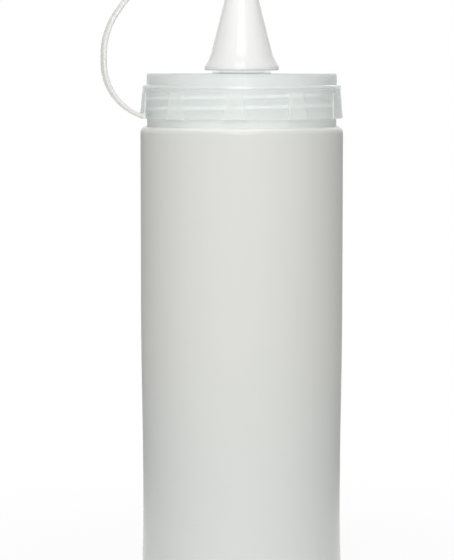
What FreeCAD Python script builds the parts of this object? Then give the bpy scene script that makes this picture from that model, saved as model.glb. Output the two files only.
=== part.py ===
import math
import os

import FreeCAD
import Part
import Sketcher

# A squeeze bottle, 73 mm across: a blow-moulded bottle with a wide threaded neck, a stepped
# screw lid with a hollow boss, a cone nozzle pushed over the boss, and a flat strap that ends
# in a small cap for the nozzle's tip. Millimetres and degrees. The origin is the middle of the
# circle that the bottle stands on, +Z points up to the nozzle and -Y is the front.

# Driving dimensions.
SIZES = {
    # bottle
    "body_radius": 36.5,
    "body_height": 165.3,
    "body_wall": 1.0,
    "floor_wall": 1.3,
    "base_inset": 0.2,
    "heel_round": 5.0,
    "foot_inset": 8.3,
    "foot_slope": 3.0,
    "foot_lift": 2.2,
    "foot_round": 0.8,
    "seam_inset": 6.0,
    "seam_width": 0.9,
    "seam_drop": 0.5,
    "waist_depth": 0.63,
    "waist_height": 27.0,
    "waist_top": 106.0,
    "shoulder_step": 2.4,
    "shoulder_round": 2.3,
    "neck_wall": 1.1,
    "neck_height": 13.5,
    # screw thread, on the neck and in the lid
    "thread_pitch": 3.7,
    "thread_depth": 0.7,
    "thread_root": 1.9,
    "thread_crest": 0.9,
    "thread_sunk": 0.3,
    "thread_gap": 0.2,
    "neck_thread_lift": 4.4,
    "neck_thread_drop": 2.1,
    "lid_thread_short": 0.09,
    # lid
    "lid_wall": 1.3,
    "skirt_clear": 2.9,
    "skirt_wall": 0.65,
    "skirt_flare": 0.75,
    "bead_depth": 0.1,
    "bead_height": 2.2,
    "ring_wall": 1.2,
    "ring_height": 4.1,
    "lid_round": 0.8,
    "edge_round": 0.25,
    "pad_count": 10,
    "pad_foot_width": 7.5,
    "pad_head_width": 5.4,
    "pad_relief": 0.3,
    "pad_gap": 0.5,
    "seat_margin": 1.2,
    "seat_height": 1.1,
    "boss_radius": 9.4,
    "boss_wall": 1.2,
    "boss_height": 3.5,
    # nozzle
    "nozzle_height": 40.1,
    "nozzle_gap": 0.1,
    "nozzle_wall": 1.25,
    "rim_spread": 2.65,
    "rim_height": 1.4,
    "rim_round": 0.5,
    "flare_height": 7.0,
    "tip_radius": 2.3,
    "tip_bore": 1.2,
    "tip_round": 0.25,
    # strap and tip cap
    "strap_width": 5.6,
    "strap_thickness": 1.4,
    "strap_edge_ease": 0.1,
    "strap_bulge": 14.05,
    "strap_lower_radius": 19.8,
    "strap_upright": 3.0,
    "strap_turn_over": 31.0,
    "strap_run": 2.1,
    "strap_rise": 0.75,
    "cap_wall": 1.07,
    "cap_taper": 1.0,
    "cap_depth": 7.5,
    "cap_top": 1.5,
    "cap_gap": 0.12,
    "cap_round": 0.6,
    "plug_gap": 0.25,
    "plug_length": 3.0,
    "anchor_margin": 0.5,
    "anchor_cover": 0.75,
    "anchor_depth": 0.5,
    "anchor_proud": 0.15,
    "anchor_gap": 0.1,
    # how far the lid and its strap are screwed round, from +X
    "lid_turn": 193.7,
    # how far a cut runs past the face that it opens
    "cut_clear": 2.0,
}

# Places that follow from the driving dimensions, each from those above it.
PLACES = {
    "axis": "0",
    "ground": "0",
    # bottle, outside
    "waist_radius": "Sizes.body_radius - Sizes.waist_depth",
    "waist_ease": "(Sizes.waist_top + Sizes.waist_height) / 2",
    "base_ease": "Sizes.waist_height / 2",
    "base_radius": "Sizes.body_radius - Sizes.base_inset",
    "foot_radius": "base_radius - Sizes.foot_inset",
    "foot_inside": "foot_radius - Sizes.foot_slope",
    "seam_end": "foot_inside - Sizes.seam_inset",
    "seam_low": "Sizes.foot_lift - Sizes.seam_drop",
    "seam_high": "Sizes.foot_lift + Sizes.seam_drop",
    "neck_radius": "Sizes.body_radius - Sizes.shoulder_step",
    "rim_level": "Sizes.body_height + Sizes.neck_height",
    # bottle, inside
    "inner_body": "Sizes.body_radius - Sizes.body_wall",
    "inner_waist": "waist_radius - Sizes.body_wall",
    "inner_base": "base_radius - Sizes.body_wall",
    "inner_heel_round": "Sizes.heel_round - Sizes.body_wall",
    "inner_floor": "Sizes.foot_lift + Sizes.floor_wall",
    "inner_shoulder": "Sizes.body_height - Sizes.neck_wall",
    "inner_neck": "neck_radius - Sizes.neck_wall",
    "inner_shoulder_round": "Sizes.shoulder_round - Sizes.body_wall",
    "above_rim": "rim_level + Sizes.cut_clear",
    # neck thread
    "neck_sunk": "neck_radius - Sizes.thread_sunk",
    "neck_crest": "neck_radius + Sizes.thread_depth",
    "half_root": "Sizes.thread_root / 2",
    "half_crest": "Sizes.thread_crest / 2",
    "neck_thread_level": "Sizes.body_height + Sizes.neck_thread_lift",
    "neck_root_low": "neck_thread_level - half_root",
    "neck_root_high": "neck_thread_level + half_root",
    "neck_crest_low": "neck_thread_level - half_crest",
    "neck_crest_high": "neck_thread_level + half_crest",
    "neck_thread_climb": "Sizes.neck_height - Sizes.neck_thread_lift - Sizes.neck_thread_drop",
    "neck_thread_turns": "neck_thread_climb / Sizes.thread_pitch",
    # lid, outside
    "lid_inside": "neck_crest + Sizes.thread_gap",
    "step_level": "rim_level + Sizes.lid_wall",
    "skirt_level": "Sizes.body_height + Sizes.skirt_clear",
    "bead_level": "step_level - Sizes.bead_height",
    "skirt_top": "lid_inside + Sizes.skirt_wall",
    "skirt_foot": "skirt_top + Sizes.skirt_flare",
    "bead_radius": "skirt_top + Sizes.bead_depth",
    "ring_radius": "inner_neck + Sizes.ring_wall",
    "lid_level": "step_level + Sizes.ring_height",
    "seat_level": "lid_level + Sizes.seat_height",
    "seat_radius": "Sizes.boss_radius + Sizes.seat_margin",
    "boss_level": "seat_level + Sizes.boss_height",
    "draft": "Sizes.skirt_flare / (bead_level - skirt_level)",
    "pad_high": "bead_level - Sizes.pad_gap",
    "pad_low_radius": "skirt_foot + Sizes.pad_relief",
    "pad_high_radius": "pad_low_radius - draft * (pad_high - skirt_level)",
    "pad_foot_half": "Sizes.pad_foot_width / 2",
    "pad_head_half": "Sizes.pad_head_width / 2",
    # lid, inside
    "below_skirt": "skirt_level - Sizes.cut_clear",
    "plate_level": "lid_level - Sizes.lid_wall",
    "boss_bore": "Sizes.boss_radius - Sizes.boss_wall",
    "above_boss": "boss_level + Sizes.cut_clear",
    "lid_sunk": "lid_inside + Sizes.thread_sunk",
    "lid_crest": "lid_inside - Sizes.thread_depth",
    "lid_thread_level": "neck_thread_level + Sizes.thread_pitch * (Sizes.lid_turn / 360 - 1 / 2)",
    "lid_root_low": "lid_thread_level - half_root",
    "lid_root_high": "lid_thread_level + half_root",
    "lid_crest_low": "lid_thread_level - half_crest",
    "lid_crest_high": "lid_thread_level + half_crest",
    "lid_thread_turns": "neck_thread_turns - Sizes.lid_thread_short",
    # nozzle
    "nozzle_bore": "Sizes.boss_radius + Sizes.nozzle_gap",
    "cone_radius": "nozzle_bore + Sizes.nozzle_wall",
    "rim_radius": "cone_radius + Sizes.rim_spread",
    "nozzle_rim_top": "seat_level + Sizes.rim_height",
    "flare_level": "seat_level + Sizes.flare_height",
    "tip_level": "seat_level + Sizes.nozzle_height",
    "cone_rise": "tip_level - flare_level",
    "cone_draw": "cone_radius - Sizes.tip_radius",
    "cone_slant": "sqrt(cone_rise^2 + cone_draw^2)",
    "flare_spread": "rim_radius - cone_radius",
    "flare_drop": "flare_level - nozzle_rim_top",
    "flare_curve": "(flare_spread^2 + flare_drop^2) * cone_slant"
    " / (2 * (flare_spread * cone_rise - flare_drop * cone_draw))",
    "below_seat": "seat_level - Sizes.cut_clear",
    "above_tip": "tip_level + Sizes.cut_clear",
    # tip cap
    "cap_level": "tip_level + Sizes.cap_top",
    "cap_foot": "tip_level - Sizes.cap_depth",
    "cap_mouth": "Sizes.tip_radius + Sizes.cap_gap + Sizes.cap_depth * cone_draw / cone_rise",
    "cap_throat": "Sizes.tip_radius + Sizes.cap_gap",
    "cap_radius": "cap_mouth + Sizes.cap_wall",
    "cap_crown": "cap_radius - Sizes.cap_taper",
    "plug_radius": "Sizes.tip_bore - Sizes.plug_gap",
    "plug_level": "tip_level - Sizes.plug_length",
    # anchor of the strap, let into the skirt
    "anchor_back": "skirt_foot - Sizes.anchor_depth",
    "anchor_front": "skirt_foot + Sizes.pad_relief + Sizes.anchor_proud",
    "anchor_height": "Sizes.strap_rise + Sizes.strap_thickness / 2 + Sizes.anchor_cover",
    "anchor_level": "skirt_level + anchor_height",
    "anchor_width": "Sizes.strap_width + 2 * Sizes.anchor_margin",
    "notch_level": "anchor_level + Sizes.anchor_gap",
    "notch_width": "anchor_width + 2 * Sizes.anchor_gap",
    "notch_front": "anchor_front + Sizes.cut_clear",
    # strap: from the cap level, over, down and back in to the anchor
    "half_thickness": "Sizes.strap_thickness / 2",
    "strap_level": "cap_level - half_thickness",
    "strap_over": "cap_level",
    "strap_under": "cap_level - Sizes.strap_thickness",
    "strap_edge_radius": "half_thickness + Sizes.strap_edge_ease",
    "strap_edge_bulge": "strap_edge_radius - sqrt(strap_edge_radius^2 - half_thickness^2)",
    "strap_flat": "Sizes.strap_width / 2 - strap_edge_bulge",
    "run_end": "cap_radius + Sizes.strap_run",
    "root_level": "skirt_level + Sizes.strap_rise",
    "strap_reach": "skirt_foot + Sizes.strap_bulge",
    "reach_level": "root_level + sqrt(Sizes.strap_lower_radius^2"
    " - (Sizes.strap_lower_radius - Sizes.strap_bulge)^2)",
    "side_level": "reach_level + Sizes.strap_upright",
    "strap_span": "strap_reach - run_end",
    "strap_climb": "strap_level - side_level",
    "turn_sine": "sin(Sizes.strap_turn_over * 1deg)",
    "turn_cosine": "cos(Sizes.strap_turn_over * 1deg)",
    "strap_side_radius": "(strap_climb * turn_cosine - strap_span * (1 - turn_sine))"
    " / (turn_sine + turn_cosine - 1)",
    "strap_top_radius": "(strap_span * turn_sine - strap_climb * (1 - turn_cosine))"
    " / (turn_sine + turn_cosine - 1)",
    "turn_over_place": "strap_reach - strap_side_radius * (1 - turn_cosine)",
    "turn_over_level": "side_level + strap_side_radius * turn_sine",
}

doc = FreeCAD.newDocument("squeeze_bottle")
sizes = doc.addObject("Spreadsheet::Sheet", "Sizes")
places = doc.addObject("Spreadsheet::Sheet", "Places")


def fill_sheet(sheet, rows, is_formula):
    """Writes one row for each name: the name, and its number or formula under that alias."""
    for line, (name, content) in enumerate(rows.items(), start=1):
        sheet.set(f"A{line}", name)
        sheet.set(f"B{line}", f"={content}" if is_formula else str(content))
        sheet.setAlias(f"B{line}", name)


fill_sheet(sizes, SIZES, False)
fill_sheet(places, PLACES, True)
doc.recompute()


def reference(name):
    """The expression that points at a named size or place, which may have a minus sign."""
    sign, bare = ("-", name[1:]) if name.startswith("-") else ("", name)
    return sign + ("Sizes." if bare in SIZES else "Places.") + bare


def reading(name):
    """The number that a named size or place holds now."""
    sign, bare = (-1, name[1:]) if name.startswith("-") else (1, name)
    sheet = sizes if bare in SIZES else places
    return sign * float(sheet.get(bare))


def origin_feature(body, role):
    return next(part for part in body.Origin.OriginFeatures if part.Role == role)


def add_body(name):
    body = doc.addObject("PartDesign::Body", name)
    body.Label = name
    return body


def add_feature(body, kind, name, **settings):
    """Adds a PartDesign feature. A text setting that names a size or place is bound to it."""
    feature = body.newObject(f"PartDesign::{kind}", name)
    for key, value in settings.items():
        if isinstance(value, str) and (value in SIZES or value in PLACES):
            feature.setExpression(key, reference(value))
        else:
            setattr(feature, key, value)
    body.Tip = feature
    doc.recompute()
    return feature


def arc_between(first, last, radius, left):
    """An arc the short way from first to last, and which of its ends each of them is. Its
    centre is on the left of the way from first to last, or on the right."""
    chord = last - first
    rise = math.sqrt(radius**2 - (chord.Length / 2) ** 2)
    side = FreeCAD.Vector(-chord.y, chord.x, 0).normalize() * (rise if left else -rise)
    centre = (first + last) / 2 + side
    start = math.atan2(first.y - centre.y, first.x - centre.x)
    end = math.atan2(last.y - centre.y, last.x - centre.x)
    circle = Part.Circle(centre, FreeCAD.Vector(0, 0, 1), radius)
    if left:
        return Part.ArcOfCircle(circle, start, end), 1, 2
    return Part.ArcOfCircle(circle, end, start), 2, 1


def add_sketch(body, name, role, corners, arcs=None, eases=None, closed=True, level=None):
    """A sketch on one of the body's planes, or at a level above it, with an edge from each corner
    to the next. A corner is two names, its place along each axis. arcs gives the edges that are
    arcs, by their number: the name of the radius, and whether the centre is on the left. eases
    gives the edges that leave one corner and meet the next upright: the level of the two handles
    between."""
    sketch = body.newObject("Sketcher::SketchObject", name)
    sketch.AttachmentSupport = [(origin_feature(body, role), "")]
    sketch.MapMode = "FlatFace"
    if level:
        sketch.setExpression(".AttachmentOffset.Base.z", reference(level))
    spots = [FreeCAD.Vector(reading(across), reading(up), 0) for across, up in corners]
    edges = len(corners) if closed else len(corners) - 1
    ends = []
    for number in range(edges):
        first = spots[number]
        last = spots[(number + 1) % len(spots)]
        if arcs and number in arcs:
            radius, left = arcs[number]
            arc, start, end = arc_between(first, last, reading(radius), left)
            sketch.addGeometry(arc, False)
            bind(sketch, Sketcher.Constraint("Radius", number, reading(radius)), radius)
        elif eases and number in eases:
            level = reading(eases[number])
            handles = [FreeCAD.Vector(first.x, level, 0), FreeCAD.Vector(last.x, level, 0)]
            curve = Part.BSplineCurve()
            curve.buildFromPoles([first, *handles, last])
            sketch.addGeometry(curve, False)
            start, end = 1, 2
        else:
            sketch.addGeometry(Part.LineSegment(first, last), False)
            start, end = 1, 2
        ends.append((start, end))
    for number in range(1, edges):
        join = (number - 1, ends[number - 1][1], number, ends[number][0])
        sketch.addConstraint(Sketcher.Constraint("Coincident", *join))
    if closed:
        join = (edges - 1, ends[-1][1], 0, ends[0][0])
        sketch.addConstraint(Sketcher.Constraint("Coincident", *join))
    for number, (across, up) in enumerate(corners):
        edge, end = (number, ends[number][0]) if number < edges else (edges - 1, ends[-1][1])
        pin(sketch, "DistanceX", edge, end, across)
        pin(sketch, "DistanceY", edge, end, up)
    for number, level in (eases or {}).items():
        first_handle = len(sketch.Geometry) + 1
        sketch.exposeInternalGeometry(number)
        beside = [corners[number][0], corners[(number + 1) % len(corners)][0]]
        for handle, across in enumerate(beside, start=first_handle):
            pin(sketch, "DistanceX", handle, 3, across)
            pin(sketch, "DistanceY", handle, 3, level)
    return sketch


def pin(sketch, kind, edge, end, name):
    """Holds one end of an edge at a named distance from the origin."""
    if reading(name) == 0:
        axis = -2 if kind == "DistanceX" else -1
        sketch.addConstraint(Sketcher.Constraint("PointOnObject", edge, end, axis))
        return
    bind(sketch, Sketcher.Constraint(kind, -1, 1, edge, end, reading(name)), name)


def bind(sketch, constraint, name):
    number = sketch.addConstraint(constraint)
    sketch.setExpression(f"Constraints[{number}]", reference(name))


def revolve(body, kind, name, corners, arcs=None, eases=None, **settings):
    """Turns an outline on the XZ plane about the Z axis, as a Revolution or a Groove."""
    sketch = add_sketch(body, f"{name}_outline", "XZ_Plane", corners, arcs, eases)
    axis = (sketch, ["V_Axis"])
    return add_feature(body, kind, name, Profile=sketch, ReferenceAxis=axis, **settings)


def round_rings(body, name, rings, radius):
    """Fillets the round edges about the Z axis that lie at the given radius and level."""
    base = body.Tip
    wanted = [(reading(across), reading(up)) for across, up in rings]
    chosen = []
    for number, edge in enumerate(base.Shape.Edges, start=1):
        curve = edge.Curve
        if not isinstance(curve, Part.Circle) or abs(curve.Axis.z) < 0.999:
            continue
        for across, up in wanted:
            if abs(curve.Radius - across) < 0.001 and abs(curve.Center.z - up) < 0.001:
                chosen.append(f"Edge{number}")
    if len(chosen) < len(rings):
        raise ValueError(f"{name} finds {len(chosen)} of {len(rings)} edges")
    return add_feature(body, "Fillet", name, Base=(base, chosen), Radius=radius)


def add_thread(body, name, corners, turns):
    """A right-handed ridge about the Z axis, swept from its section on the XZ plane."""
    sketch = add_sketch(body, f"{name}_section", "XZ_Plane", corners)
    return add_feature(
        body,
        "AdditiveHelix",
        name,
        Profile=sketch,
        ReferenceAxis=(sketch, ["V_Axis"]),
        Mode="pitch-turns-angle",
        Pitch="thread_pitch",
        Turns=turns,
    )


def build_bottle():
    """A thin-walled body, slightly waisted near its foot, with a stepped shoulder and a neck.
    Its raised floor carries the straight seam where the blown tube was pinched shut."""
    bottle = add_body("bottle")
    outside = [
        ("axis", "foot_lift"),
        ("foot_inside", "foot_lift"),
        ("foot_radius", "ground"),
        ("base_radius", "ground"),
        ("waist_radius", "waist_height"),
        ("body_radius", "waist_top"),
        ("body_radius", "body_height"),
        ("neck_radius", "body_height"),
        ("neck_radius", "rim_level"),
        ("axis", "rim_level"),
    ]
    waist_curves = {3: "base_ease", 4: "waist_ease"}
    revolve(bottle, "Revolution", "bottle_skin", outside, eases=waist_curves)
    inside = [
        ("axis", "inner_floor"),
        ("foot_inside", "inner_floor"),
        ("foot_radius", "floor_wall"),
        ("inner_base", "floor_wall"),
        ("inner_waist", "waist_height"),
        ("inner_body", "waist_top"),
        ("inner_body", "inner_shoulder"),
        ("inner_neck", "inner_shoulder"),
        ("inner_neck", "above_rim"),
        ("axis", "above_rim"),
    ]
    revolve(bottle, "Groove", "bottle_cavity", inside, eases=waist_curves)
    round_rings(bottle, "inner_heel", [("inner_base", "floor_wall")], "inner_heel_round")
    inner_corner = [("inner_body", "inner_shoulder")]
    round_rings(bottle, "inner_shoulder_edge", inner_corner, "inner_shoulder_round")
    round_rings(bottle, "heel", [("base_radius", "ground")], "heel_round")
    round_rings(bottle, "shoulder", [("body_radius", "body_height")], "shoulder_round")
    foot_edges = [("foot_inside", "foot_lift"), ("foot_radius", "ground")]
    round_rings(bottle, "foot_edges", foot_edges, "foot_round")
    rim_edges = [("neck_radius", "rim_level"), ("inner_neck", "rim_level")]
    round_rings(bottle, "rim_edges", rim_edges, "edge_round")
    seam = [
        ("-seam_end", "seam_low"),
        ("seam_end", "seam_low"),
        ("seam_end", "seam_high"),
        ("-seam_end", "seam_high"),
    ]
    sketch = add_sketch(bottle, "pinch_seam_outline", "XZ_Plane", seam)
    add_feature(
        bottle, "Pad", "pinch_seam", Profile=sketch, SideType="Symmetric", Length="seam_width"
    )
    ridge = [
        ("neck_sunk", "neck_root_low"),
        ("neck_crest", "neck_crest_low"),
        ("neck_crest", "neck_crest_high"),
        ("neck_sunk", "neck_root_high"),
    ]
    add_thread(bottle, "neck_thread", ridge, "neck_thread_turns")
    return bottle


def build_lid():
    """A stepped cup over the neck, with grip pads on its skirt and a hollow boss on its top."""
    lid = add_body("lid")
    outside = [
        ("axis", "boss_level"),
        ("boss_radius", "boss_level"),
        ("boss_radius", "seat_level"),
        ("seat_radius", "seat_level"),
        ("seat_radius", "lid_level"),
        ("ring_radius", "lid_level"),
        ("ring_radius", "step_level"),
        ("bead_radius", "step_level"),
        ("bead_radius", "bead_level"),
        ("skirt_top", "bead_level"),
        ("skirt_foot", "skirt_level"),
        ("axis", "skirt_level"),
    ]
    revolve(lid, "Revolution", "lid_skin", outside)
    top_edges = [("ring_radius", "lid_level"), ("bead_radius", "step_level")]
    round_rings(lid, "lid_edges", top_edges, "lid_round")
    pad_foot = [
        ("lid_inside", "-pad_foot_half"),
        ("pad_low_radius", "-pad_foot_half"),
        ("pad_low_radius", "pad_foot_half"),
        ("lid_inside", "pad_foot_half"),
    ]
    pad_head = [
        ("lid_inside", "-pad_head_half"),
        ("pad_high_radius", "-pad_head_half"),
        ("pad_high_radius", "pad_head_half"),
        ("lid_inside", "pad_head_half"),
    ]
    foot = add_sketch(lid, "pad_foot", "XY_Plane", pad_foot, level="skirt_level")
    head = add_sketch(lid, "pad_head", "XY_Plane", pad_head, level="pad_high")
    grip = add_feature(lid, "AdditiveLoft", "grip_pad", Profile=foot, Sections=[head], Ruled=True)
    add_feature(
        lid,
        "PolarPattern",
        "grip_pads",
        Originals=[grip],
        Axis=(origin_feature(lid, "Z_Axis"), [""]),
        Angle=360,
        Occurrences="pad_count",
    )
    inside = [
        ("axis", "below_skirt"),
        ("lid_inside", "below_skirt"),
        ("lid_inside", "rim_level"),
        ("inner_neck", "rim_level"),
        ("inner_neck", "plate_level"),
        ("boss_bore", "plate_level"),
        ("boss_bore", "above_boss"),
        ("axis", "above_boss"),
    ]
    revolve(lid, "Groove", "lid_cavity", inside)
    notch = [
        ("anchor_back", "below_skirt"),
        ("notch_front", "below_skirt"),
        ("notch_front", "notch_level"),
        ("anchor_back", "notch_level"),
    ]
    sketch = add_sketch(lid, "notch_outline", "XZ_Plane", notch)
    add_feature(
        lid, "Pocket", "notch", Profile=sketch, SideType="Symmetric", Length="notch_width"
    )
    ridge = [
        ("lid_sunk", "lid_root_low"),
        ("lid_sunk", "lid_root_high"),
        ("lid_crest", "lid_crest_high"),
        ("lid_crest", "lid_crest_low"),
    ]
    add_thread(lid, "lid_thread", ridge, "lid_thread_turns")
    return lid


def build_nozzle():
    """A hollow cone with a flared foot. Its bore slips over the boss down to the seat."""
    nozzle = add_body("nozzle")
    outside = [
        ("axis", "seat_level"),
        ("rim_radius", "seat_level"),
        ("rim_radius", "nozzle_rim_top"),
        ("cone_radius", "flare_level"),
        ("tip_radius", "tip_level"),
        ("axis", "tip_level"),
    ]
    revolve(nozzle, "Revolution", "nozzle_skin", outside, {2: ("flare_curve", False)})
    foot_edges = [("rim_radius", "seat_level"), ("rim_radius", "nozzle_rim_top")]
    round_rings(nozzle, "foot_rim", foot_edges, "rim_round")
    round_rings(nozzle, "tip_edge", [("tip_radius", "tip_level")], "tip_round")
    inside = [
        ("axis", "below_seat"),
        ("nozzle_bore", "below_seat"),
        ("nozzle_bore", "flare_level"),
        ("tip_bore", "tip_level"),
        ("tip_bore", "above_tip"),
        ("axis", "above_tip"),
    ]
    revolve(nozzle, "Groove", "nozzle_bore_cut", inside)
    return nozzle


def build_tether():
    """A flat strap in one piece with the tip cap. Its anchor fills the notch in the skirt."""
    tether = add_body("tether")
    cap = [
        ("axis", "cap_foot"),
        ("cap_radius", "cap_foot"),
        ("cap_crown", "cap_level"),
        ("axis", "cap_level"),
    ]
    revolve(tether, "Revolution", "cap_skin", cap)
    cap_edges = [("cap_radius", "cap_foot"), ("cap_crown", "cap_level")]
    round_rings(tether, "cap_edges", cap_edges, "cap_round")
    route = [
        ("axis", "strap_level"),
        ("run_end", "strap_level"),
        ("turn_over_place", "turn_over_level"),
        ("strap_reach", "side_level"),
        ("strap_reach", "reach_level"),
        ("skirt_foot", "root_level"),
    ]
    bends = {
        1: ("strap_top_radius", False),
        2: ("strap_side_radius", False),
        4: ("strap_lower_radius", False),
    }
    path = add_sketch(tether, "strap_path", "XZ_Plane", route, bends, closed=False)
    section = [
        ("-strap_flat", "strap_under"),
        ("strap_flat", "strap_under"),
        ("strap_flat", "strap_over"),
        ("-strap_flat", "strap_over"),
    ]
    ends = {1: ("strap_edge_radius", True), 3: ("strap_edge_radius", True)}
    profile = add_sketch(tether, "strap_section", "YZ_Plane", section, ends)
    spine = (path, [f"Edge{number}" for number in range(1, len(route))])
    add_feature(
        tether,
        "AdditivePipe",
        "strap",
        Profile=profile,
        Spine=spine,
    )
    block = [
        ("anchor_back", "skirt_level"),
        ("anchor_front", "skirt_level"),
        ("anchor_front", "anchor_level"),
        ("anchor_back", "anchor_level"),
    ]
    sketch = add_sketch(tether, "anchor_outline", "XZ_Plane", block)
    add_feature(
        tether, "Pad", "anchor", Profile=sketch, SideType="Symmetric", Length="anchor_width"
    )
    cavity = [
        ("plug_radius", "tip_level"),
        ("cap_throat", "tip_level"),
        ("cap_mouth", "cap_foot"),
        ("axis", "cap_foot"),
        ("axis", "plug_level"),
        ("plug_radius", "plug_level"),
    ]
    revolve(tether, "Groove", "cap_cavity", cavity)
    return tether


bottle = build_bottle()
lid = build_lid()
nozzle = build_nozzle()
tether = build_tether()
bodies = [bottle, lid, nozzle, tether]
upright = FreeCAD.Vector(0, 0, 1)
for body in bodies:
    turn = reading("lid_turn") if body in (lid, tether) else 0
    body.Placement = FreeCAD.Placement(FreeCAD.Vector(), FreeCAD.Rotation(upright, turn))
doc.recompute()

for item in doc.Objects:
    if "Invalid" in item.State or "Error" in item.State:
        raise ValueError(f"{item.Name} failed: {item.State}")
for body in bodies:
    shape = body.Shape
    if shape.isNull() or not shape.isValid() or len(shape.Solids) != 1:
        raise ValueError(f"{body.Label} is not one valid solid")

os.makedirs("parts", exist_ok=True)
for body in bodies:
    body.Shape.exportStep(f"parts/{body.Label}.step")
    box = body.Shape.optimalBoundingBox(True, False)
    print(f"{body.Label}: {body.Shape.Volume / 1000:.2f} cm3, z {box.ZMin:.2f} to {box.ZMax:.2f}")
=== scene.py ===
"""A squeeze bottle with a stepped screw lid, a cone nozzle and a flat strap with a tip cap."""

import math

import bpy
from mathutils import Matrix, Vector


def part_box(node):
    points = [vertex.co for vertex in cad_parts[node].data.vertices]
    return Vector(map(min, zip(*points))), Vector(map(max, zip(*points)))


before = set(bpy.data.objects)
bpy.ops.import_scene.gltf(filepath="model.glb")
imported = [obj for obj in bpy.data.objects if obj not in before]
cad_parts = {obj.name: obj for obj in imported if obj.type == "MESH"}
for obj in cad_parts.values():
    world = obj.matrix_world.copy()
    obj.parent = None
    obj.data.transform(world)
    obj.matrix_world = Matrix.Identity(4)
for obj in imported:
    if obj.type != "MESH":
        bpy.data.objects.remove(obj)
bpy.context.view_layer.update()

bl_info = {
    "name": "Squeeze bottle",
    "version": (1, 0, 0),
    "blender": (4, 5, 0),
    "location": "View3D > Sidebar > Squeeze bottle",
    "description": "Gives the squeeze bottle its plastics, light and camera",
    "category": "Object",
}

MM = 0.001

# Levels above the ground: the lid's skirt, grip pads and flat top, the neck's rim, and the
# shoulder where the body ends
SKIRT_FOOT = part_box("lid")[0].z
SKIRT_TOP = SKIRT_FOOT + 11.9 * MM
PAD_TOP = SKIRT_TOP - 2.2 * MM
LID_TOP = SKIRT_TOP + 4.1 * MM
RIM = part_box("bottle")[1].z
SHOULDER = RIM - 13.5 * MM

# Outer radii of the neck between its ridges and of the skirt at its foot, and how far the
# skirt narrows for each metre up
NECK_SKIN = 34.1 * MM
SKIRT_SKIN = 36.4 * MM
SKIRT_DRAFT = 0.0773

# Sizes of the plastics' unevenness: clouds drawn out upwards in the wall, the wall's and the
# lid's fine grain, and slow waves in the nozzle and the strap
CLOUD_SIZE = 30 * MM
CLOUD_STRETCH = (1.0, 1.0, 0.35)
WALL_GRAIN_SIZE = 0.6 * MM
LID_GRAIN_SIZE = 0.5 * MM
WAVE_SIZE = 6 * MM


class Value:
    """A shader socket that can be added, subtracted and multiplied like a number."""

    def __init__(self, finish, socket):
        self.finish = finish
        self.socket = socket

    def math(self, operation, first, second):
        node = self.finish.node("ShaderNodeMath", {"operation": operation}, [first, second])
        return Value(self.finish, node.outputs[0])

    def __add__(self, other):
        return self.math("ADD", self, other)

    def __radd__(self, other):
        return self.math("ADD", other, self)

    def __sub__(self, other):
        return self.math("SUBTRACT", self, other)

    def __rsub__(self, other):
        return self.math("SUBTRACT", other, self)

    def __mul__(self, other):
        return self.math("MULTIPLY", self, other)

    def __rmul__(self, other):
        return self.math("MULTIPLY", other, self)


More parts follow.
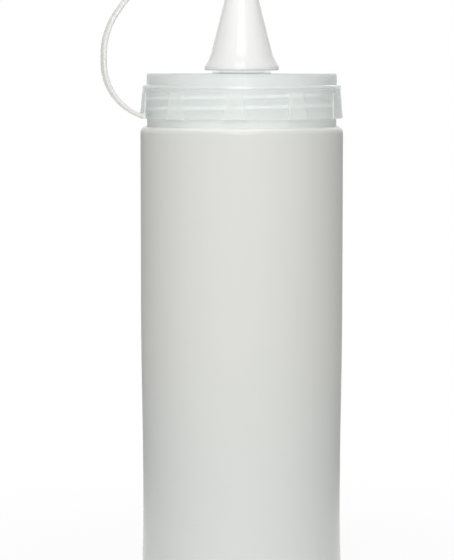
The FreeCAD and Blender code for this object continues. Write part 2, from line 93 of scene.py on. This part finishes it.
class Finish:
    """The nodes of one material or of the world."""

    def __init__(self, owner):
        owner.use_nodes = True
        self.tree = owner.node_tree
        self.tree.nodes.clear()

    def node(self, kind, settings=None, inputs=None):
        """Adds a node: first its settings, then the values or links of its sockets."""
        node = self.tree.nodes.new(kind)
        for name, setting in (settings or {}).items():
            setattr(node, name, setting)
        pairs = enumerate(inputs) if isinstance(inputs, list) else (inputs or {}).items()
        for key, content in pairs:
            socket = node.inputs[key]
            if isinstance(content, Value):
                self.tree.links.new(content.socket, socket)
            elif isinstance(content, bpy.types.NodeSocket):
                self.tree.links.new(content, socket)
            else:
                socket.default_value = content
        return node

    def spot(self):
        """The point on the piece, in metres."""
        return self.node("ShaderNodeTexCoord").outputs["Object"]

    def axes(self, spot):
        """How far along X, Y and Z a point lies."""
        split = self.node("ShaderNodeSeparateXYZ", None, {"Vector": spot})
        return [Value(self, split.outputs[number]) for number in range(3)]

    def reach(self, point):
        """The distance of a point from the origin."""
        length = self.node("ShaderNodeVectorMath", {"operation": "LENGTH"}, [point])
        return Value(self, length.outputs["Value"])

    def outward(self, across, along):
        """The distance from the bottle's axis."""
        flat = self.node("ShaderNodeCombineXYZ", None, [across, along, 0.0])
        return self.reach(flat.outputs[0])

    def noise(self, spot, size, detail, stretch=(1.0, 1.0, 1.0)):
        """Cloudy unevenness from 0 to 1, with patches of about that size."""
        scaled = self.node("ShaderNodeMapping", None, {"Vector": spot, "Scale": stretch})
        cloud = self.node(
            "ShaderNodeTexNoise",
            None,
            {"Vector": scaled.outputs[0], "Scale": 1 / size, "Detail": detail},
        )
        return Value(self, cloud.outputs[0])

    def ramp(self, level, low, high):
        """0 below low, 1 above high, and smooth between."""
        node = self.node(
            "ShaderNodeMapRange",
            {"interpolation_type": "SMOOTHSTEP"},
            {"Value": level, "From Min": low, "From Max": high},
        )
        return Value(self, node.outputs[0])

    def blend(self, share, first, second):
        """The first colour, turned into the second by that share."""
        colours = {0: share, 6: paint(first), 7: paint(second)}
        return self.node("ShaderNodeMix", {"data_type": "RGBA"}, colours).outputs[2]

    def bump(self, height, depth):
        """The normal of a surface with that relief, so deep."""
        return self.node("ShaderNodeBump", None, {"Height": height, "Distance": depth}).outputs[0]

    def mix(self, share, first, second):
        """The first surface, turned into the second by that share."""
        surfaces = [share, first.outputs[0], second.outputs[0]]
        return self.node("ShaderNodeMixShader", None, surfaces)

    def inside(self, tint, density):
        """Plastic that turns light to that tint, the more the longer the way through it is."""
        return self.node(
            "ShaderNodeVolumeAbsorption", None, {"Color": paint(tint), "Density": density}
        )

    def show(self, surface, inside=None):
        """Gives the piece that surface, and that inside where there is one."""
        parts = {"Surface": surface.outputs[0]}
        if inside is not None:
            parts["Volume"] = inside.outputs[0]
        self.node("ShaderNodeOutputMaterial", None, parts)


def paint(content):
    """A colour as a socket takes it: a link as it is, and three numbers made opaque."""
    if isinstance(content, bpy.types.NodeSocket):
        return content
    return (*content[:3], 1.0)


def dress(name, material):
    """Puts a material on a solid of the frame."""
    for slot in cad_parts[name].material_slots:
        slot.material = material


def colour(name, description, default):
    """A setting that is a colour."""
    return bpy.props.FloatVectorProperty(
        name=name, description=description, default=default, size=3, subtype="COLOR", min=0, max=1
    )


def fraction(name, description, default):
    """A setting from 0 to 1."""
    return bpy.props.FloatProperty(
        name=name, description=description, default=default, min=0, max=1, subtype="FACTOR"
    )


def number(name, description, default, unit="NONE"):
    """A setting that is a number with a unit, or with none."""
    return bpy.props.FloatProperty(
        name=name, description=description, default=default, unit=unit
    )


class BottleSettings(bpy.types.PropertyGroup):
    shade: colour("Plastic", "Colour of the frosted wall", (0.735, 0.742, 0.708))
    lower_shade: colour("Lower wall", "Colour of the wall near the foot", (0.728, 0.742, 0.722))
    cloud_shade: colour("Clouds", "Colour of the faint clouds in the wall", (0.6, 0.62, 0.6))
    # The neck's colour is painted light: lighter than the wall, for light that reaches the neck
    # under and through the lid
    neck_painted_light: colour("Neck", "Colour of the neck", (0.8, 0.81, 0.79))
    # The rim's and the thread's colour is a painted highlight
    ridge_painted_highlight: colour("Ridges", "Colour of the rim and the thread", (1.0, 1.0, 0.99))
    cloudiness: fraction("Cloudiness", "How much the clouds tint the wall", 0.1)
    roughness: fraction("Roughness", "How frosted the wall is", 0.55)
    neck_polish: fraction("Neck polish", "How much smoother the neck is than the wall", 0.25)
    shoulder_gloss: fraction("Shoulder gloss", "How glossy the shoulder's edge is", 0.8)
    relief: number("Relief", "Depth of the wall's unevenness", 0.06 * MM, "LENGTH")


class LidSettings(bpy.types.PropertyGroup):
    shade: colour("Plastic", "Colour of the lid's milky plastic", (0.96, 0.98, 0.973))
    pale_shade: colour(
        "Pale plastic", "Colour of the pads, the boss and the skirt's foot", (0.95, 0.96, 0.95)
    )
    tint: colour("Tint", "Colour that a face gives to what shows through", (0.98, 0.99, 0.99))
    deep_tint: colour("Deep tint", "Colour of the light that the lid lets by", (0.62, 0.72, 0.7))
    density: number("Density", "How soon the deep tint shows on the way through", 28.0)
    opacity: fraction("Opacity", "Share of its own plastic that a face shows", 0.42)
    ring_opacity: fraction("Ring opacity", "The same on the top ring", 0.75)
    pad_opacity: fraction("Pad opacity", "The same on the frosted grip pads", 0.7)
    boss_opacity: fraction("Boss opacity", "The same on the boss and on the nozzle's seat", 0.05)
    passing: fraction("Light passed on", "Share of that plastic's light that goes inside", 0.35)
    ring_passing: fraction("Ring light passed on", "The same on the top ring", 0.12)
    roughness: fraction("Roughness", "How frosted the lid is", 0.22)
    pad_frost: fraction("Pad frost", "How much more frosted the grip pads are", 0.25)


class NozzleSettings(bpy.types.PropertyGroup):
    shade: colour("Plastic", "Colour of the nozzle's plastic", (1.0, 1.0, 0.985))
    milk: fraction("Milk", "Share of the nozzle that is milky and not clear", 0.9)
    roughness: fraction("Roughness", "How frosted the nozzle is", 0.12)
    density: number("Density", "How soon the nozzle darkens on the way through", 20.0)


class StrapSettings(bpy.types.PropertyGroup):
    shade: colour("Plastic", "Colour of the strap's plastic", (0.9, 0.9, 0.87))
    milk: fraction("Milk", "Share of the strap that is milky and not clear", 0.85)
    roughness: fraction("Roughness", "How frosted the strap is", 0.2)
    density: number("Density", "How soon the strap darkens on the way through", 35.0)


class StageSettings(bpy.types.PropertyGroup):
    camera_distance: number(
        "Camera distance", "From the lens to the bottle's axis", 0.85, "LENGTH"
    )
    camera_height: number("Camera height", "Height of the lens", 0.185, "LENGTH")
    camera_side: number(
        "Camera side", "How far right of the axis the lens is", -5.3 * MM, "LENGTH"
    )
    tip_down: bpy.props.FloatProperty(
        name="Tip down",
        description="How far the camera looks down",
        default=math.radians(5.07),
        subtype="ANGLE",
    )
    lens: number("Lens", "Focal length on a 36 mm high sensor", 151.3, "CAMERA")
    world_light: fraction("World light", "Strength of the even light from all round", 0.25)
    front_light: number("Front light", "Power of the large light in front", 13.0, "POWER")
    top_light: number("Top light", "Power of the light above", 2.0, "POWER")
    back_light: number("Back light", "Power of the light high up behind", 3.5, "POWER")
    foot_glow: fraction("Foot glow", "How white the floor is under the bottle", 0.93)


class SQUEEZE_OT_bottle(bpy.types.Operator):
    """Gives the bottle its soft frosted wall and its smoother neck, painted lighter as painted
    light, with painted highlights on the rim and the thread
    """

    bl_idname = "squeeze.bottle"
    bl_label = "Bottle"

    def execute(self, context):
        settings = context.scene.squeeze_bottle
        material = bpy.data.materials.new("frosted_wall")
        finish = Finish(material)
        spot = finish.spot()
        across, along, up = finish.axes(spot)
        cloud = finish.noise(spot, CLOUD_SIZE, 3.0, CLOUD_STRETCH)
        grain = finish.noise(spot, WALL_GRAIN_SIZE, 3.0)

        # The neck starts within the shoulder's rounding; the rim and the thread's crests get a
        # painted highlight in their colour and real gloss in the coat
        neck = finish.ramp(up, SHOULDER - 1.5 * MM, SHOULDER + 0.3 * MM)
        out = finish.outward(across, along)
        crest = finish.ramp(out, NECK_SKIN + 0.2 * MM, NECK_SKIN + 0.6 * MM)
        rim = finish.ramp(up, RIM - 0.8 * MM, RIM - 0.2 * MM)
        ridge = neck * (1 - (1 - crest) * (1 - rim))

        # The shoulder's edge and the lowest part of the wall are glossy
        shoulder = finish.ramp(up, SHOULDER - 3 * MM, SHOULDER - 1 * MM) * (1 - neck)
        low = 1 - finish.ramp(up, 5 * MM, 50 * MM)

        raised = finish.ramp(up, 20 * MM, 100 * MM)
        wall = finish.blend(raised, settings.lower_shade, settings.shade)
        wall = finish.blend(cloud * settings.cloudiness, wall, settings.cloud_shade)
        # Painted light: the neck is painted lighter than the wall
        wall = finish.blend(neck, wall, settings.neck_painted_light)
        speckle = 0.08 * (grain - 0.5)
        skin = finish.node(
            "ShaderNodeBsdfPrincipled",
            None,
            {
                # Painted highlight: the rim and the thread's crests are painted near white
                "Base Color": finish.blend(ridge, wall, settings.ridge_painted_highlight),
                "Roughness": settings.roughness + speckle - settings.neck_polish * neck,
                "Normal": finish.bump(grain * 0.12 + cloud, settings.relief),
                "IOR": 1.5,
                "Specular IOR Level": 0.03,
                "Coat Weight": ridge + shoulder * settings.shoulder_gloss + low,
                "Coat Roughness": 0.2,
            },
        )
        finish.show(skin)
        dress("bottle", material)
        return {"FINISHED"}


class SQUEEZE_OT_lid(bpy.types.Operator):
    """Gives the lid its tinted, partly clear plastic, more frosted on the grip pads"""

    bl_idname = "squeeze.lid"
    bl_label = "Lid"

    def execute(self, context):
        settings = context.scene.squeeze_lid
        material = bpy.data.materials.new("tinted_lid")
        finish = Finish(material)
        spot = finish.spot()
        across, along, up = finish.axes(spot)
        grain = finish.noise(spot, LID_GRAIN_SIZE, 3.0)

        # The pads stand proud of the skirt, which narrows upwards, and end under the step
        out = finish.outward(across, along)
        proud = out - SKIRT_SKIN + SKIRT_DRAFT * (up - SKIRT_FOOT)
        below = finish.ramp(PAD_TOP - up, -0.1 * MM, 0.1 * MM)
        pads = finish.ramp(proud, 0.2 * MM, 0.3 * MM) * below

        # From the bottom up: the skirt, the step, the top ring, and the boss on the flat top
        deep = finish.ramp(up, SKIRT_FOOT + 1 * MM, SKIRT_TOP - 2 * MM)
        boss = finish.ramp(up, LID_TOP + 0.1 * MM, LID_TOP + 0.3 * MM)
        ring = finish.ramp(up, RIM - 0.3 * MM, RIM + 0.3 * MM) * (1 - boss)
        step = ring * (1 - finish.ramp(up, SKIRT_TOP, SKIRT_TOP + 0.3 * MM))

        own = deep * (1 - pads) * (1 - boss)
        skin = finish.node(
            "ShaderNodeBsdfPrincipled",
            None,
            {
                "Base Color": finish.blend(own, settings.pale_shade, settings.shade),
                "Roughness": settings.roughness + pads * settings.pad_frost + 0.04 * grain,
                "Normal": finish.bump(grain, 0.01 * MM),
                "IOR": 1.5,
                "Specular IOR Level": 0.3,
                "Coat Weight": step,
                "Coat Roughness": 0.15,
            },
        )
        through = finish.node("ShaderNodeBsdfTranslucent", None, {"Color": paint(settings.shade)})
        passing = settings.passing + ring * (settings.ring_passing - settings.passing)
        milk = finish.mix(passing, skin, through)
        clear = finish.node("ShaderNodeBsdfTransparent", None, {"Color": paint(settings.tint)})
        opacity = (
            settings.opacity
            + pads * (settings.pad_opacity - settings.opacity)
            + ring * (settings.ring_opacity - settings.opacity)
            + boss * (settings.boss_opacity - settings.opacity)
        )
        surface = finish.mix(opacity, clear, milk)
        finish.show(surface, finish.inside(settings.deep_tint, settings.density))
        dress("lid", material)
        return {"FINISHED"}


def milky_plastic(name, settings):
    """Plastic that is partly milky and partly clear, and darker where the way through is long."""
    dark = (0.3, 0.3, 0.27)
    material = bpy.data.materials.new(name)
    finish = Finish(material)
    waves = finish.noise(finish.spot(), WAVE_SIZE, 1.0)
    look = {
        "Base Color": paint(settings.shade),
        "Roughness": settings.roughness + 0.04 * waves,
        "Normal": finish.bump(waves, 0.02 * MM),
        "IOR": 1.4,
    }
    solid = finish.node("ShaderNodeBsdfPrincipled", None, look)
    glass = finish.node("ShaderNodeBsdfPrincipled", None, {**look, "Transmission Weight": 1.0})
    surface = finish.mix(settings.milk, glass, solid)
    finish.show(surface, finish.inside(dark, settings.density))
    return material


class SQUEEZE_OT_nozzle(bpy.types.Operator):
    """Gives the nozzle its milky white plastic"""

    bl_idname = "squeeze.nozzle"
    bl_label = "Nozzle"

    def execute(self, context):
        dress("nozzle", milky_plastic("white_nozzle", context.scene.squeeze_nozzle))
        return {"FINISHED"}


class SQUEEZE_OT_strap(bpy.types.Operator):
    """Gives the strap and the tip cap their milky plastic"""

    bl_idname = "squeeze.strap"
    bl_label = "Strap and tip cap"

    def execute(self, context):
        dress("tether", milky_plastic("milky_strap", context.scene.squeeze_strap))
        return {"FINISHED"}


class SQUEEZE_OT_stage(bpy.types.Operator):
    """Sets the floor, the light and the camera"""

    bl_idname = "squeeze.stage"
    bl_label = "Stage"

    def execute(self, context):
        settings = context.scene.squeeze_stage
        world = bpy.data.worlds.new("studio")
        context.scene.world = world
        finish = Finish(world)
        white = backdrop_share(finish)
        strength = settings.world_light + white * (1 - settings.world_light)
        glow = finish.node(
            "ShaderNodeBackground", None, {"Color": (1.0, 1.0, 1.0, 1.0), "Strength": strength}
        )
        finish.node("ShaderNodeOutputWorld", None, {"Surface": glow.outputs[0]})

        bpy.ops.object.select_all(action="DESELECT")
        bpy.ops.mesh.primitive_circle_add(vertices=96, radius=6.0, fill_type="NGON")
        floor = context.object
        floor.name = "floor"
        floor.data.materials.append(floor_paint(settings.foot_glow))

        add_lamp(
            context, "front_light", settings.front_light,
            place=(-0.04, -1.3, 0.5), turn=(73, 0, -2), size=(0.75, 1.5),
        )
        add_lamp(
            context, "top_light", settings.top_light,
            place=(-0.07, -0.3, 1.1), turn=(15, 0, -3), size=(0.35, 0.35),
        )
        add_lamp(
            context, "back_light", settings.back_light,
            place=(0.25, 1.1, 1.0), turn=(-52, 0, -13), size=(0.8, 0.8),
        )

        place = (settings.camera_side, -settings.camera_distance, settings.camera_height)
        tip = (math.pi / 2 - settings.tip_down, 0, 0)
        bpy.ops.object.camera_add(location=place, rotation=tip)
        camera = context.object
        camera.name = "camera"
        camera.data.sensor_fit = "VERTICAL"
        camera.data.sensor_height = 36.0
        camera.data.lens = settings.lens
        context.scene.camera = camera
        context.scene.view_settings.view_transform = "Standard"
        return {"FINISHED"}


def backdrop_share(finish):
    """1 where the backdrop is looked at, mirrored or seen through something, and else 0."""
    path = finish.node("ShaderNodeLightPath")
    looked_at = Value(finish, path.outputs["Is Camera Ray"])
    mirrored = Value(finish, path.outputs["Is Glossy Ray"])
    seen_through = Value(finish, path.outputs["Is Transmission Ray"])
    total = looked_at + mirrored + seen_through
    clamp = finish.node("ShaderNodeClamp", None, {"Value": total})
    return Value(finish, clamp.outputs[0])


def floor_paint(foot_glow):
    """A pale floor that looks white, and keeps the bottle's shadow near its foot."""
    material = bpy.data.materials.new("floor_paint")
    finish = Finish(material)
    far = finish.ramp(finish.reach(finish.spot()), 40 * MM, 250 * MM)
    skin = finish.node(
        "ShaderNodeBsdfPrincipled",
        None,
        {"Base Color": (0.9, 0.9, 0.9, 1.0), "Roughness": 0.8, "Specular IOR Level": 0.1},
    )
    glow = finish.node("ShaderNodeEmission", None, {"Strength": 1.0})
    white = backdrop_share(finish) * (foot_glow + far * (1 - foot_glow))
    finish.show(finish.mix(white, skin, glow))
    return material


def add_lamp(context, name, power, place, turn, size):
    """Adds a soft rectangular lamp, turned by degrees about X, Y and Z."""
    rotation = [math.radians(angle) for angle in turn]
    bpy.ops.object.light_add(type="AREA", location=place, rotation=rotation)
    lamp = context.object
    lamp.name = name
    lamp.data.shape = "RECTANGLE"
    lamp.data.size, lamp.data.size_y = size
    lamp.data.energy = power


STEPS = [
    ("squeeze_bottle", BottleSettings, SQUEEZE_OT_bottle),
    ("squeeze_lid", LidSettings, SQUEEZE_OT_lid),
    ("squeeze_nozzle", NozzleSettings, SQUEEZE_OT_nozzle),
    ("squeeze_strap", StrapSettings, SQUEEZE_OT_strap),
    ("squeeze_stage", StageSettings, SQUEEZE_OT_stage),
]


class SQUEEZE_PT_panel(bpy.types.Panel):
    """Lists the steps that dress the squeeze bottle, with their settings"""

    bl_idname = "SQUEEZE_PT_panel"
    bl_label = "Squeeze bottle"
    bl_space_type = "VIEW_3D"
    bl_region_type = "UI"
    bl_category = "Squeeze bottle"

    def draw(self, context):
        for name, group, step in STEPS:
            box = self.layout.box()
            box.operator(step.bl_idname)
            settings = getattr(context.scene, name)
            for field in group.__annotations__:
                box.prop(settings, field)


CLASSES = [kind for name, *kinds in STEPS for kind in kinds] + [SQUEEZE_PT_panel]


def register():
    for kind in CLASSES:
        bpy.utils.register_class(kind)
    for name, group, step in STEPS:
        setattr(bpy.types.Scene, name, bpy.props.PointerProperty(type=group))


def unregister():
    for name, group, step in STEPS:
        delattr(bpy.types.Scene, name)
    for kind in reversed(CLASSES):
        bpy.utils.unregister_class(kind)


def main():
    register()
    bpy.ops.squeeze.bottle()
    bpy.ops.squeeze.lid()
    bpy.ops.squeeze.nozzle()
    bpy.ops.squeeze.strap()
    bpy.ops.squeeze.stage()


if __name__ == "__main__":
    main()
